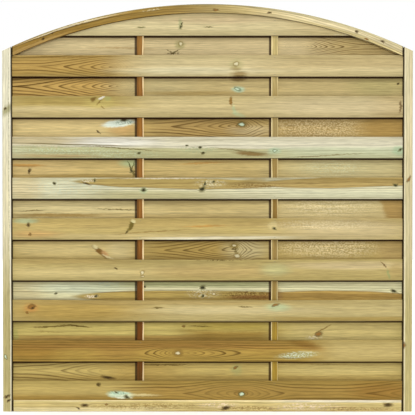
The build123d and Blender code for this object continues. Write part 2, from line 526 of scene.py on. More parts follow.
    def _ground(self, flow: Socket, ragged: Socket) -> Socket | tuple:
        """Lay the stains over the board's own colour, in their order.

        Args:
            flow: the board's coordinates, on which long stains lie.
            ragged: the same with rough edges, for shorter ones.

        Returns:
            The stained wood.
        """
        specks = None
        if any(stain.speckled for stain in self.finish.stains):
            noise = self._lumpy(flow, self.SPECKS)
            start, end = self.SPECK_SPAN
            specks = self.bench.add("MapRange", {"Value": noise, "From Min": start, "From Max": end})
        colour = linear(self.finish.ground)
        for stain in self.finish.stains:
            bed = flow if stain.along > self.LONG_STAIN else ragged
            reach = self._oval(bed, stain, oblong=stain.oblong)
            span = (1 - stain.soft, 1 + stain.soft)
            within = specks if stain.speckled else None
            colour = self._painted(colour, stain.colour, reach, span, (stain.strength, 0.0), within)
        return colour

    def _darkened(self, colour: Socket | tuple, late: Socket, flow: Socket) -> Socket:
        """Lay the latewood's brown over the colour, as far as the figure's contrast says.

        Args:
            colour: the wood so far.
            late: how dark the latewood is.
            flow: the board's coordinates.

        Returns:
            The wood with its rings.
        """
        add = self.bench.add
        figure = self.finish.figure
        share = add("Math", {0: late, 1: figure.contrast}, operation="MULTIPLY")
        for start, end in figure.fades:
            along = add("SeparateXYZ", {0: flow}, "X")
            ends = {"From Min": start, "From Max": end, "To Min": 1.0, "To Max": self.FADED}
            kept = add("MapRange", {"Value": along, **ends}, interpolation_type="SMOOTHSTEP")
            share = add("Math", {0: share, 1: kept}, operation="MULTIPLY")
        mixed = {MIX_FACTOR: share, MIX_FIRST: colour, MIX_SECOND: linear(LATEWOOD)}
        return add("Mix", mixed, MIX_RESULT, data_type="RGBA")

    def _streaked(self, colour: Socket, flow: Socket) -> Socket:
        """Scale the colour by wide bands, fine streaks and sparse dark hairlines along the grain."""
        add = self.bench.add
        finish = self.finish
        for lumps, (start, end), least, most in (
            (self.BANDS, self.NOISE_SPAN, 1 - finish.bands, 1 + finish.bands),
            (self.FIBRES, self.NOISE_SPAN, 1 - finish.fibres, 1 + finish.fibres),
            (self.HAIRS, self.HAIR_SPAN, 1.0, 1 - finish.hairs),
        ):
            ends = {"From Min": start, "From Max": end, "To Min": least, "To Max": most}
            shade = add("MapRange", {"Value": self._lumpy(flow, lumps), **ends})
            colour = add("VectorMath", {0: colour, "Scale": shade}, operation="SCALE")
        return colour

    def _knotted(self, colour: Socket, flow: Socket, knot: Knot) -> Socket:
        """Draw a knot: a rim that fades outwards, then its middle.

        Args:
            colour: the wood so far.
            flow: the board's coordinates.
            knot: the knot.

        Returns:
            The wood with the knot.
        """
        kind = knot.kind
        reach = self._oval(flow, knot)
        colour = self._painted(colour, kind.rim, reach, self.KNOT_RIM, (self.RIM_SHARE * kind.strength, 0.0))
        return self._painted(colour, kind.middle, reach, self.KNOT_MIDDLE, (kind.strength, 0.0))

    def _shaded_edges(self, colour: Socket, place: Socket) -> Socket:
        """Paint the shade along a slat's edges, and the shadows at joints, on inner arrises and beside
        battens.

        Args:
            colour: the wood so far.
            place: the board's coordinates, unshifted.

        Returns:
            The finished colour.
        """
        add = self.bench.add
        split = add("SeparateXYZ", {0: place}, "X").node
        along, high, through = (split.outputs[axis] for axis in "XYZ")
        depth = add("Math", {0: through, 1: self.inside}, operation="MULTIPLY")
        inner = add("MapRange", {"Value": depth, "From Min": -1.0, "From Max": 1.0})
        outer = add("Math", {0: 1.0, 1: inner}, operation="SUBTRACT")
        # painted shade of the crowned face, and painted shadow and shade at the laps
        if self.edge < math.inf:
            for line in EDGE_SHADES:
                toward = add("Math", {0: high, 1: line.edge}, operation="MULTIPLY")
                span = (self.edge - line.begin, self.edge - line.full)
                share = line.share * (self.finish.crown if line.crown_shaded else 1.0)
                face = inner if line.inner else outer
                colour = self._painted(colour, line.colour, toward, span, (0.0, share), face)
        # painted shadow in the gap at the joint
        if self.joint < math.inf:
            span = (self.joint - self.JOINT_BEGIN, self.joint - self.JOINT_FULL)
            out = self._far_out(along, high)
            colour = self._painted(colour, JOINT_SHADOW, out, span, (0.0, self.JOINT_SHARE))
        # painted shadow along the inner arrises
        if self.arris:
            toward = add("Math", {0: high, 1: self.arris}, operation="MULTIPLY")
            off_middle = add("Math", {0: through}, operation="ABSOLUTE")
            begin, full = self.ARRIS_SKIN
            skin = add("MapRange", {"Value": off_middle, "From Min": begin, "From Max": full})
            colour = self._painted(colour, JOINT_SHADOW, toward, self.ARRIS_SPAN, (0.0, self.arris_shadow), skin)
        # painted shadow cast beside each batten
        for side in self.batten_shadows:
            away = add("Math", {0: along, 1: side}, operation="SUBTRACT")
            gap = add("Math", {0: away}, operation="ABSOLUTE")
            colour = self._painted(colour, GAP_SHADOW, gap, self.BATTEN_SHADOW_SPAN, (0.0, self.BATTEN_SHADOW_SHARE), inner)
        return colour

    def _far_out(self, along: Socket, high: Socket) -> Socket:
        """Give the distance from the middle: |s|, or |(radius + t) sin(s / radius)| round the arch."""
        add = self.bench.add
        if self.run is Run.ARCHED:
            angle = add("Math", {0: along, 1: self.arch_radius}, operation="DIVIDE")
            sine = add("Math", {0: angle}, operation="SINE")
            radius = add("Math", {0: high, 1: self.arch_radius}, operation="ADD")
            along = add("Math", {0: sine, 1: radius}, operation="MULTIPLY")
        return add("Math", {0: along}, operation="ABSOLUTE")

    def _surface(self, colour: Socket, late: Socket, flow: Socket) -> None:
        """Finish with a matt surface on which the latewood and the fibres stand up slightly."""
        add = self.bench.add
        grain = self._lumpy(flow, self.RELIEF)
        relief = add("Math", {0: late, 1: self.LATE_RELIEF, 2: grain}, operation="MULTIPLY_ADD")
        raised = {"Strength": self.RELIEF_STRENGTH, "Distance": self.RELIEF_HEIGHT * MM, "Height": relief}
        normal = add("Bump", raised)
        rough = self.finish.roughness
        ends = {"To Min": rough - self.SMOOTHER, "To Max": rough + self.ROUGHER}
        shine = add("MapRange", {"Value": grain, **ends})
        matt = {"Roughness": shine, "Normal": normal, "Specular IOR Level": self.SPECULAR}
        self.bench.finish(add("BsdfPrincipled", {"Base Color": colour, **matt}))


def outline(corners: list[tuple[float, float, float]], splits: int = 4) -> np.ndarray:
    """Round a polygon's corners.

    Each corner P is a curve from a point one radius before it to a point one radius after it,
    (1 - f)^2 A + 2 f (1 - f) P + f^2 B, and a corner of radius 0 stays one point.

    Args:
        corners: the two coordinates and the radius of each corner, in order.
        splits: steps in each rounded corner.

    Returns:
        The outline's points, shaped points by 2.
    """
    points = np.array([corner[:2] for corner in corners])
    back = np.roll(points, 1, axis=0) - points
    ahead = np.roll(points, -1, axis=0) - points
    back /= np.linalg.norm(back, axis=1, keepdims=True)
    ahead /= np.linalg.norm(ahead, axis=1, keepdims=True)
    share = np.linspace(0.0, 1.0, splits + 1)[:, None]
    loops = []
    for point, before, after, (_, _, radius) in zip(points, back, ahead, corners):
        if radius == 0:
            loops.append(point[None, :])
            continue
        start = point + before * radius
        end = point + after * radius
        loops.append((1 - share) ** 2 * start + 2 * share * (1 - share) * point + share**2 * end)
    return np.concatenate(loops)


def upright(x: np.ndarray, y: np.ndarray, foot: float, top: np.ndarray, stations: int = 25) -> np.ndarray:
    """Carry a section up, each of its points from the foot to its own height.

    Args:
        x: the section's x.
        y: its y.
        foot: height of its lower end.
        top: each point's height at the upper end.
        stations: loops from end to end.

    Returns:
        Points shaped stations by points by 3.
    """
    z = foot + np.linspace(0.0, 1.0, stations)[:, None] * (top - foot)[None, :]
    return np.stack([np.broadcast_to(x, z.shape), np.broadcast_to(y, z.shape), z], axis=-1)


@dataclass
class Skin:
    """Closed surfaces gathered into one mesh, in mm until it becomes a piece."""

    points: list[np.ndarray] = field(default_factory=list)
    faces: list[list[int]] = field(default_factory=list)

    def loft(self, rings: np.ndarray) -> None:
        """Join closed loops into a tube with flat ends.

        Quad i, j joins points j and j + 1 of loops i and i + 1, and each end is one face.

        Args:
            rings: points shaped loops by points by 3, each loop in the same order.
        """
        start = sum(len(block) for block in self.points)
        loops, count = rings.shape[:2]
        near = np.arange(loops - 1)[:, None] * count + np.arange(count)[None, :]
        far = np.arange(loops - 1)[:, None] * count + (np.arange(count)[None, :] + 1) % count
        quads = np.stack([near, far, far + count, near + count], axis=-1).reshape(-1, 4) + start
        self.points.append(rings.reshape(-1, 3))
        self.faces += quads.tolist()
        self.faces.append((start + np.arange(count)[::-1]).tolist())
        self.faces.append((start + (loops - 1) * count + np.arange(count)).tolist())

    def piece(self, name: str, material: bpy.types.Material, sharp: float = 35.0) -> bpy.types.Object:
        """Make the object, smooth but for edges sharper than an angle.

        Args:
            name: the piece's name.
            material: its finish.
            sharp: that angle in degrees.

        Returns:
            The object, at the origin with its place in its mesh.
        """
        mesh = bpy.data.meshes.new(name)
        mesh.from_pydata((np.concatenate(self.points) * MM).tolist(), [], self.faces)
        work = bmesh.new()
        work.from_mesh(mesh)
        bmesh.ops.recalc_face_normals(work, faces=work.faces)
        work.to_mesh(mesh)
        work.free()
        mesh.polygons.foreach_set("use_smooth", np.ones(len(mesh.polygons), dtype=bool))
        mesh.set_sharp_from_angle(angle=math.radians(sharp))
        mesh.materials.append(material)
        made = bpy.data.objects.new(name, mesh)
        bpy.context.collection.objects.link(made)
        return made


def hand_over(piece: bpy.types.Object, node: str) -> None:
    """Put a piece in the place of its node.

    Args:
        piece: the finished object.
        node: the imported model's node.
    """
    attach(piece, "root")
    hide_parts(node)
    LOG.info("%s: %d faces", piece.name, len(piece.data.polygons))


@dataclass(frozen=True)
class Arch:
    """The arch's circles (mm): the rail's outer side, and the ends of what stands in its groove."""

    centre: float = -288.1  # height of their centre
    outer: float = 2078.1
    groove: float = 2046.1

    def height(self, radius: float, x: np.ndarray) -> np.ndarray:
        """Give centre + sqrt(radius^2 - x^2), the height of a circle at x."""
        return self.centre + np.sqrt(radius**2 - x**2)


ARCH = Arch()


@dataclass
class Slats:
    """Nineteen boards in two layers, by turns in front of and behind the battens (mm)."""

    width: float = 95.0
    row_step: float = 89.498
    foot: float = 40.0  # height of the lowest board's lower edge
    reach: float = 868.0  # half-length
    near_face: float = 6.0  # distance of each layer's inner face from the middle of the panel
    thickness: float = 8.0
    easing: float = 2.2
    most_easing: float = 0.48  # the easing's largest share of a narrow tip
    joint: float = 860.0  # where a board goes under the stile's lip
    batten_sides: tuple[float, ...] = (-314.5, 275.5)  # the battens' left sides
    least_tip: float = 2.0  # width at which a tip under the arch ends
    stations: int = 97

    def build(self) -> None:
        """Make and dress every row, from the lowest up. Each board's noises start from its row."""
        for row, look in enumerate(SLAT_LOOKS):
            layer = "front" if row % 2 == 0 else "rear"
            look = replace(look, seed=row + 1.0)
            self._board(row, f"{layer}_slat_{row // 2 + 1:02d}", look, layer == "front")

    def _board(self, row: int, node: str, look: SlatLook, in_front: bool) -> None:
        """Make one board.

        Its upper edge is the lower of its own straight edge and the arch's groove, and its middle
        is moved by sag * (1 - (x / reach)^2). A board under the arch doesn't sag, and the topmost
        board follows the groove all along.

        Args:
            row: its place from the bottom.
            node: the node it replaces.
            look: its finish and sag.
            in_front: whether it lies in the front layer.
        """
        low = self.foot + self.row_step * row
        straight = low + self.width
        tip = low + self.least_tip - ARCH.centre
        reach = min(self.reach, math.sqrt(ARCH.groove**2 - tip**2))
        x = np.linspace(-reach, reach, self.stations)
        groove = ARCH.height(ARCH.groove, x)
        sag = 0.0 if straight > groove.min() else look.sag
        bend = -sag * (1 - (x / reach) ** 2)
        topmost = row == len(SLAT_LOOKS) - 1
        top = groove if topmost else np.minimum(straight, groove)
        near, far = self.near_face, self.near_face + self.thickness
        if in_front:
            near, far = -far, -near
        rings = []
        for at, below, above in zip(x, low + bend, top + bend):
            ease = min(self.easing, self.most_easing * (above - below))
            loop = outline([(near, below, ease), (far, below, ease), (far, above, ease), (near, above, ease)])
            rings.append(np.insert(loop, 0, at, axis=1))
        skin = Skin()
        skin.loft(np.array(rings))
        shader = PineShader(
            f"treated_pine_{node}",
            look,
            Run.LEVEL,
            (0.0, (near + far) / 2, low + self.width / 2),
            joint=self.joint,
            edge=self.width / 2,
            inside=1 if in_front else -1,
            batten_shadows=self.batten_sides,
        )
        hand_over(skin.piece(f"{node}_board", shader.material()), node)


@dataclass
class Battens:
    """Two laths between the layers of slats (mm)."""

    spacing: float = 590.0
    width: float = 30.0
    thickness: float = 12.0
    foot: float = 40.0
    easing: float = 1.5
    mid_height: float = 890.0  # where s is zero in their look

    def build(self) -> None:
        """Make and dress both laths: an eased oblong carried up, its top cut to the arch's curve."""
        half, deep, ease = self.width / 2, self.thickness / 2, self.easing
        loop = outline([(-half, -deep, ease), (half, -deep, ease), (half, deep, ease), (-half, deep, ease)])
        for side, sign, finish in (("left", -1, LEFT_BATTEN), ("right", 1, RIGHT_BATTEN)):
            middle = sign * self.spacing / 2
            x = middle + loop[:, 0]
            skin = Skin()
            skin.loft(upright(x, loop[:, 1], self.foot, ARCH.height(ARCH.groove, x)))
            name = f"treated_pine_{side}_batten"
            shader = PineShader(name, finish, Run.UPRIGHT, (middle, 0.0, self.mid_height))
            hand_over(skin.piece(f"{side}_batten_lath", shader.material()), f"{side}_batten")


@dataclass
class Frame:
    """Stiles, arched top rail and bottom rail, all grooved for the slats (mm)."""

    half_width: float = 900.0
    face: float = 40.0
    depth: float = 45.0
    groove_width: float = 29.0
    groove_depth: float = 10.0
    easing: float = 4.5
    mid_height: float = 800.0  # where s is zero in the stiles' look
    shoulder: float = 857.0  # how far out the rails' shoulders stand
    tenon_end: float = 870.0
    tenon_root: float = 6.0  # how far a tenon starts inside its rail
    tenon_thickness: float = 28.4
    tenon_foot: float = 0.5  # height of the bottom rail's tenons
    rail_height: float = 50.0
    weather_bevel: float = 5.0
    bevel_easings: tuple[float, float] = (1.5, 1.0)  # the bevel's lower and upper corner
    arch_arris_shadow: float = 0.65  # how dark the painted shadow on the arch rail's lower arrises is
    arch_stations: int = 121
    tenon_stations: int = 4
    rail_stations: int = 49

    def build(self) -> None:
        """Make and dress the four timbers."""
        self._stile("left", -1, LEFT_STILE)
        self._stile("right", 1, RIGHT_STILE)
        self._arch_rail()
        self._bottom_rail()

    def _stile(self, side: str, sign: int, finish: PineFinish) -> None:
        """Carry the grooved section up, each point to its own height under the arch's outer curve.

        Args:
            side: "left" or "right".
            sign: -1 or 1, the side of the panel.
            finish: its look.
        """
        out, inn = self.half_width, self.half_width - self.face
        deep, slot, ease = self.depth / 2, self.groove_width / 2, self.easing
        floor = inn + self.groove_depth
        loop = outline([
            (out, -deep, ease), (out, deep, ease), (inn, deep, ease), (inn, slot, 0),
            (floor, slot, 0), (floor, -slot, 0), (inn, -slot, 0), (inn, -deep, ease),
        ])
        x = sign * loop[:, 0]
        skin = Skin()
        skin.loft(upright(x, loop[:, 1], 0.0, ARCH.height(ARCH.outer, x)))
        middle = (sign * (out + inn) / 2, 0.0, self.mid_height)
        shader = PineShader(f"treated_pine_{side}_stile", finish, Run.UPRIGHT, middle, arris=-sign)
        hand_over(skin.piece(f"{side}_stile_timber", shader.material()), f"{side}_stile")

    def _arch_rail(self) -> None:
        """Carry the section round the arch: at radius r it ends at the angle asin(shoulder / r)."""
        top, low = ARCH.outer, ARCH.outer - self.face
        deep, slot, ease = self.depth / 2, self.groove_width / 2, self.easing
        floor = low + self.groove_depth
        loop = outline([
            (top, deep, ease), (top, -deep, ease), (low, -deep, ease), (low, -slot, 0),
            (floor, -slot, 0), (floor, slot, 0), (low, slot, 0), (low, deep, ease),
        ])
        skin = Skin()
        share = np.linspace(-1.0, 1.0, self.arch_stations)[:, None]
        self._arc(skin, loop, share * np.arcsin(self.shoulder / loop[:, 0])[None, :])
        tongue = self.tenon_thickness / 2
        block = np.array([(top - ease, tongue), (top - ease, -tongue), (floor, -tongue), (floor, tongue)])
        tenon = np.linspace(self.shoulder - self.tenon_root, self.tenon_end, self.tenon_stations)[:, None]
        for sign in (-1, 1):
            self._arc(skin, block, np.arcsin(sign * tenon / block[:, 0][None, :]))
        shader = PineShader(
            "treated_pine_arch_rail",
            ARCH_RAIL,
            Run.ARCHED,
            (0.0, 0.0, ARCH.centre),
            arch_radius=(top + low) / 2,
            joint=self.shoulder,
            arris=-1,
            arris_shadow=self.arch_arris_shadow,
        )
        hand_over(skin.piece("arch_rail_timber", shader.material()), "arch_rail")

    def _arc(self, skin: Skin, loop: np.ndarray, angle: np.ndarray) -> None:
        """Add a section turned about the arch's centre: x = r sin(angle), z = centre + r cos(angle).

        Args:
            skin: the mesh it joins.
            loop: radius and depth of each point.
            angle: each point's angle at each station.
        """
        radius = loop[:, 0][None, :]
        depth = np.broadcast_to(loop[:, 1], angle.shape)
        height = ARCH.centre + radius * np.cos(angle)
        skin.loft(np.stack([radius * np.sin(angle), depth, height], axis=-1))

    def _bottom_rail(self) -> None:
        """Carry the grooved section, with its two weather bevels, from shoulder to shoulder."""
        deep, slot, ease = self.depth / 2, self.groove_width / 2, self.easing
        top, bevel = self.rail_height, self.weather_bevel
        below, above = self.bevel_easings
        floor = top - self.groove_depth
        loop = outline([
            (-deep, 0, ease), (deep, 0, ease), (deep, top - bevel, below), (deep - bevel, top, above),
            (slot, top, 0), (slot, floor, 0), (-slot, floor, 0), (-slot, top, 0),
            (bevel - deep, top, above), (-deep, top - bevel, below),
        ])
        tongue, foot = self.tenon_thickness / 2, self.tenon_foot
        block = np.array([(-tongue, foot), (tongue, foot), (tongue, floor), (-tongue, floor)])
        root = self.shoulder - self.tenon_root
        skin = Skin()
        for start, end, profile in (
            (-self.shoulder, self.shoulder, loop),
            (-self.tenon_end, -root, block),
            (root, self.tenon_end, block),
        ):
            x = np.linspace(start, end, self.rail_stations)[:, None]
            shape = (self.rail_stations, len(profile))
            columns = (x, profile[:, 0], profile[:, 1])
            skin.loft(np.stack([np.broadcast_to(column, shape) for column in columns], axis=-1))
        middle = (0.0, 0.0, top / 2)
        joint = self.shoulder
        shader = PineShader("treated_pine_bottom_rail", BOTTOM_RAIL, Run.LEVEL, middle, joint=joint)
        hand_over(skin.piece("bottom_rail_timber", shader.material()), "bottom_rail")


@dataclass(frozen=True)
class StapleFinish:
    """Galvanised steel wire that has dulled: grey, half shiny, mottled by its zinc."""

    zinc: str = "8d8c82"
    dull: str = "5a5648"
    spangle: float = 1.5  # size of the mottling (mm)
    roughness: float = 0.5
    roughness_spread: float = 0.12
    metallic: float = 0.85

    def material(self) -> bpy.types.Material:
        """Wire the finish.

        Returns:
            The material.
        """
        bench = NodeBench(bpy.data.materials.new("galvanised_wire"))
        add = bench.add
        place = add("TexCoord", {}, "Object")
        noise = add("TexNoise", {"Vector": place, "Scale": 1 / (self.spangle * MM), "Detail": 2.0})
        mottled = {MIX_FACTOR: noise, MIX_FIRST: linear(self.zinc), MIX_SECOND: linear(self.dull)}
        colour = add("Mix", mottled, MIX_RESULT, data_type="RGBA")
        least, most = self.roughness - self.roughness_spread, self.roughness + self.roughness_spread
        rough = add("MapRange", {"Value": noise, "To Min": least, "To Max": most})
        steel = {"Base Color": colour, "Roughness": rough, "Metallic": self.metallic}
        bench.finish(add("BsdfPrincipled", steel))
        return bench.owner


@dataclass
class Staples:
    """Wire staples that hold the slats to the battens and the rails to the stiles (mm)."""

    crown: float = 11.0
    wire: float = 1.3
    sides: int = 8  # of the wire's section
    leg: float = 15.0
    bend: float = 1.2  # how far from a leg the crown's bend starts
    proud: float = 0.2
    edge: float = 11.0  # distance of a staple from its slat's edge
    face: float = 14.0  # distance of a slat's face from the middle of the panel
    batten_at: float = 295.0
    top_row: tuple[float, float] = (1662.0, 1717.5)
    corner_at: float = 858.5
    corner_heights: tuple[float, ...] = (14.0, 26.0, 1581.9, 1593.9)
    corner_face: float = 22.5
    slats: Slats = field(default_factory=Slats)

    def build(self) -> None:
        """Make the three groups."""
        steel = StapleFinish().material()
        for node, first, sign in (("front_staples", 0, -1), ("rear_staples", 1, 1)):
            heights = []
            for row in range(first, len(SLAT_LOOKS), 2):
                low = self.slats.foot + self.slats.row_step * row
                heights += [low + self.edge, low + self.slats.width - self.edge]
            if first == 0:
                heights[-2:] = self.top_row
            places = [(x, z) for x in (-self.batten_at, self.batten_at) for z in heights]
            self._group(node, places, sign * self.face, sign, steel)
        places = [(x, z) for x in (-self.corner_at, self.corner_at) for z in self.corner_heights]
        self._group("corner_staples", places, self.corner_face, 1, steel)

    def _group(self, node: str, places: list[tuple[float, float]], face: float, sign: int,
               steel: bpy.types.Material) -> None:
        """Carry a round wire along leg, crown and leg, once for each place.

        Args:
            node: the node that the group replaces.
            places: x and z of each staple's middle.
            face: y of the surface they are driven into.
            sign: the direction in y out of that surface.
            steel: their finish.
        """
        half = self.crown / 2 - self.wire / 2
        bed = self.wire / 2 - self.proud
        bend = self.bend
        corner = (bend / 3 - half, bed + bend / 6)  # the bend's middle
        one_side = [(-half, self.leg), (-half, 4 * bend / 3), corner, (bend - half, bed)]
        path = np.array(one_side + [(-across, deep) for across, deep in reversed(one_side)])
        way = np.gradient(path, axis=0)
        way /= np.linalg.norm(way, axis=1, keepdims=True)
        turn = np.linspace(0, 2 * math.pi, self.sides, endpoint=False)
        side = np.stack([-way[:, 1], way[:, 0]], axis=1)[:, None, :] * np.cos(turn)[None, :, None]
        flat = path[:, None, :] + side * self.wire / 2
        up = np.broadcast_to(np.sin(turn)[None, :] * self.wire / 2, flat.shape[:2])
        skin = Skin()
        for x, z in places:
            skin.loft(np.stack([x + flat[..., 0], face - sign * flat[..., 1], z + up], axis=-1))
        hand_over(skin.piece(f"{node}_wire", steel), node)


@dataclass(frozen=True)
class SoftBox:
    """A round area lamp: its width (m), power (W) and place (m)."""

    name: str
    size: float
    power: float
    place: tuple[float, float, float]


@dataclass(frozen=True)
class Glow:
    """Light from the sky, from least to most as its direction leans along an axis from begin to full."""

    axis: str
    begin: float
    full: float
    least: float
    most: float


@dataclass
class Studio:
    """Floor, light and camera (m)."""

    eye: tuple[float, float, float] = (0.0, -9.0, 1.184)
    aim: tuple[float, float, float] = (0.0, -0.0225, 0.899)
    view_width: float = 1.8206  # width of the picture at the front of the frame
    sensor: float = 36.0
    floor_half: float = 14.0
    floor_steps: int = 28
    floor_level: float = 6.0  # how far out the floor is level
    floor_dip: float = 0.002
    floor_near: str = "f8f8f6"  # paint under the panel, and in front of it
    floor_far: str = "aeadaa"
    floor_change: tuple[float, float] = (-0.2, -1.2)  # y at which it begins and has changed
    floor_roughness: float = 0.9
    behind: Glow = Glow("Y", -0.2, 0.5, 0.3, 1.0)
    overhead: Glow = Glow("Z", 0.55, 0.9, 0.0, 2.4)
    key_box: SoftBox = SoftBox("key_box", 1.4, 420.0, (1.6, -11.2, 4.4))
    top_box: SoftBox = SoftBox("top_box", 4.0, 90.0, (0.4, -3.9, 5.6))
    lit: tuple[float, float, float] = (0.0, 0.0, 0.85)  # where the lamps point

    def build(self) -> None:
        """Set up everything round the panel."""
        self._floor()
        self._sky()
        self._soft_boxes()
        self._camera()

    def _floor(self) -> None:
        """Lay a plain pale floor that dips as the square of the distance past its level part."""
        count = self.floor_steps + 1
        reach = np.linspace(-self.floor_half, self.floor_half, count)
        x, y = np.meshgrid(reach, reach)
        z = -self.floor_dip * np.maximum(np.hypot(x, y) - self.floor_level, 0) ** 2
        points = np.stack([x, y, z], axis=-1).reshape(-1, 3)
        step = np.arange(self.floor_steps)
        corner = (step[:, None] * count + step[None, :]).reshape(-1)
        faces = np.stack([corner, corner + 1, corner + count + 1, corner + count], axis=-1)
        mesh = bpy.data.meshes.new("studio_floor")
        mesh.from_pydata(points.tolist(), [], faces.tolist())
        bench = NodeBench(bpy.data.materials.new("matt_floor_paint"))
        add = bench.add
        depth = add("SeparateXYZ", {0: add("TexCoord", {}, "Object")}, "Y")
        start, end = self.floor_change
        share = add("MapRange", {"Value": depth, "From Min": start, "From Max": end})
        mixed = {MIX_FACTOR: share, MIX_FIRST: linear(self.floor_near), MIX_SECOND: linear(self.floor_far)}
        paint = add("Mix", mixed, MIX_RESULT, data_type="RGBA")
        bench.finish(add("BsdfPrincipled", {"Base Color": paint, "Roughness": self.floor_roughness}))
        mesh.materials.append(bench.owner)
        floor = bpy.data.objects.new("studio_floor", mesh)
        bpy.context.collection.objects.link(floor)

    def _sky(self) -> None:
        """Light softly from all round: white behind the panel, bright overhead and dim in front."""
        world = bpy.data.worlds.new("soft_room")
        bpy.context.scene.world = world
        bench = NodeBench(world)
        add = bench.add
        split = add("SeparateXYZ", {0: add("TexCoord", {}, "Generated")}, "Y").node
        lights = []
        for glow in (self.behind, self.overhead):
            ends = {"From Min": glow.begin, "From Max": glow.full, "To Min": glow.least, "To Max": glow.most}
            lights.append(add("MapRange", {"Value": split.outputs[glow.axis], **ends}))
        both = add("Math", {0: lights[0], 1: lights[1]}, operation="MAXIMUM")
        bench.finish(add("Background", {"Color": both}), "ShaderNodeOutputWorld")

    def _soft_boxes(self) -> None:
        """Hang a key light in front and to the right, and a wide one above the front."""
        for box in (self.key_box, self.top_box):
            lamp = bpy.data.lights.new(box.name, "AREA")
            lamp.shape = "DISK"
            lamp.size = box.size
            lamp.energy = box.power
            self._hang(box.name, lamp, box.place, self.lit)

    def _camera(self) -> None:
        """Look square on, with the picture as wide as the panel and a narrow margin."""
        lens = bpy.data.cameras.new("camera")
        lens.sensor_width = self.sensor
        lens.lens = self.sensor * (self.aim[1] - self.eye[1]) / self.view_width
        bpy.context.scene.camera = self._hang("camera", lens, self.eye, self.aim)
        bpy.context.scene.view_settings.view_transform = "Standard"

    def _hang(self, name: str, data: bpy.types.ID, place: tuple, aim: tuple) -> bpy.types.Object:
        """Put a lamp or camera at a place, turned to what it is aimed at.

        Args:
            name: the object's name.
            data: the lamp or camera.
            place: where it stands.
            aim: the point it is turned to.

        Returns:
            The object.
        """
        made = bpy.data.objects.new(name, data)
        made.location = place
        made.rotation_euler = (Vector(aim) - made.location).to_track_quat("-Z", "Y").to_euler()
        bpy.context.collection.objects.link(made)
        return made


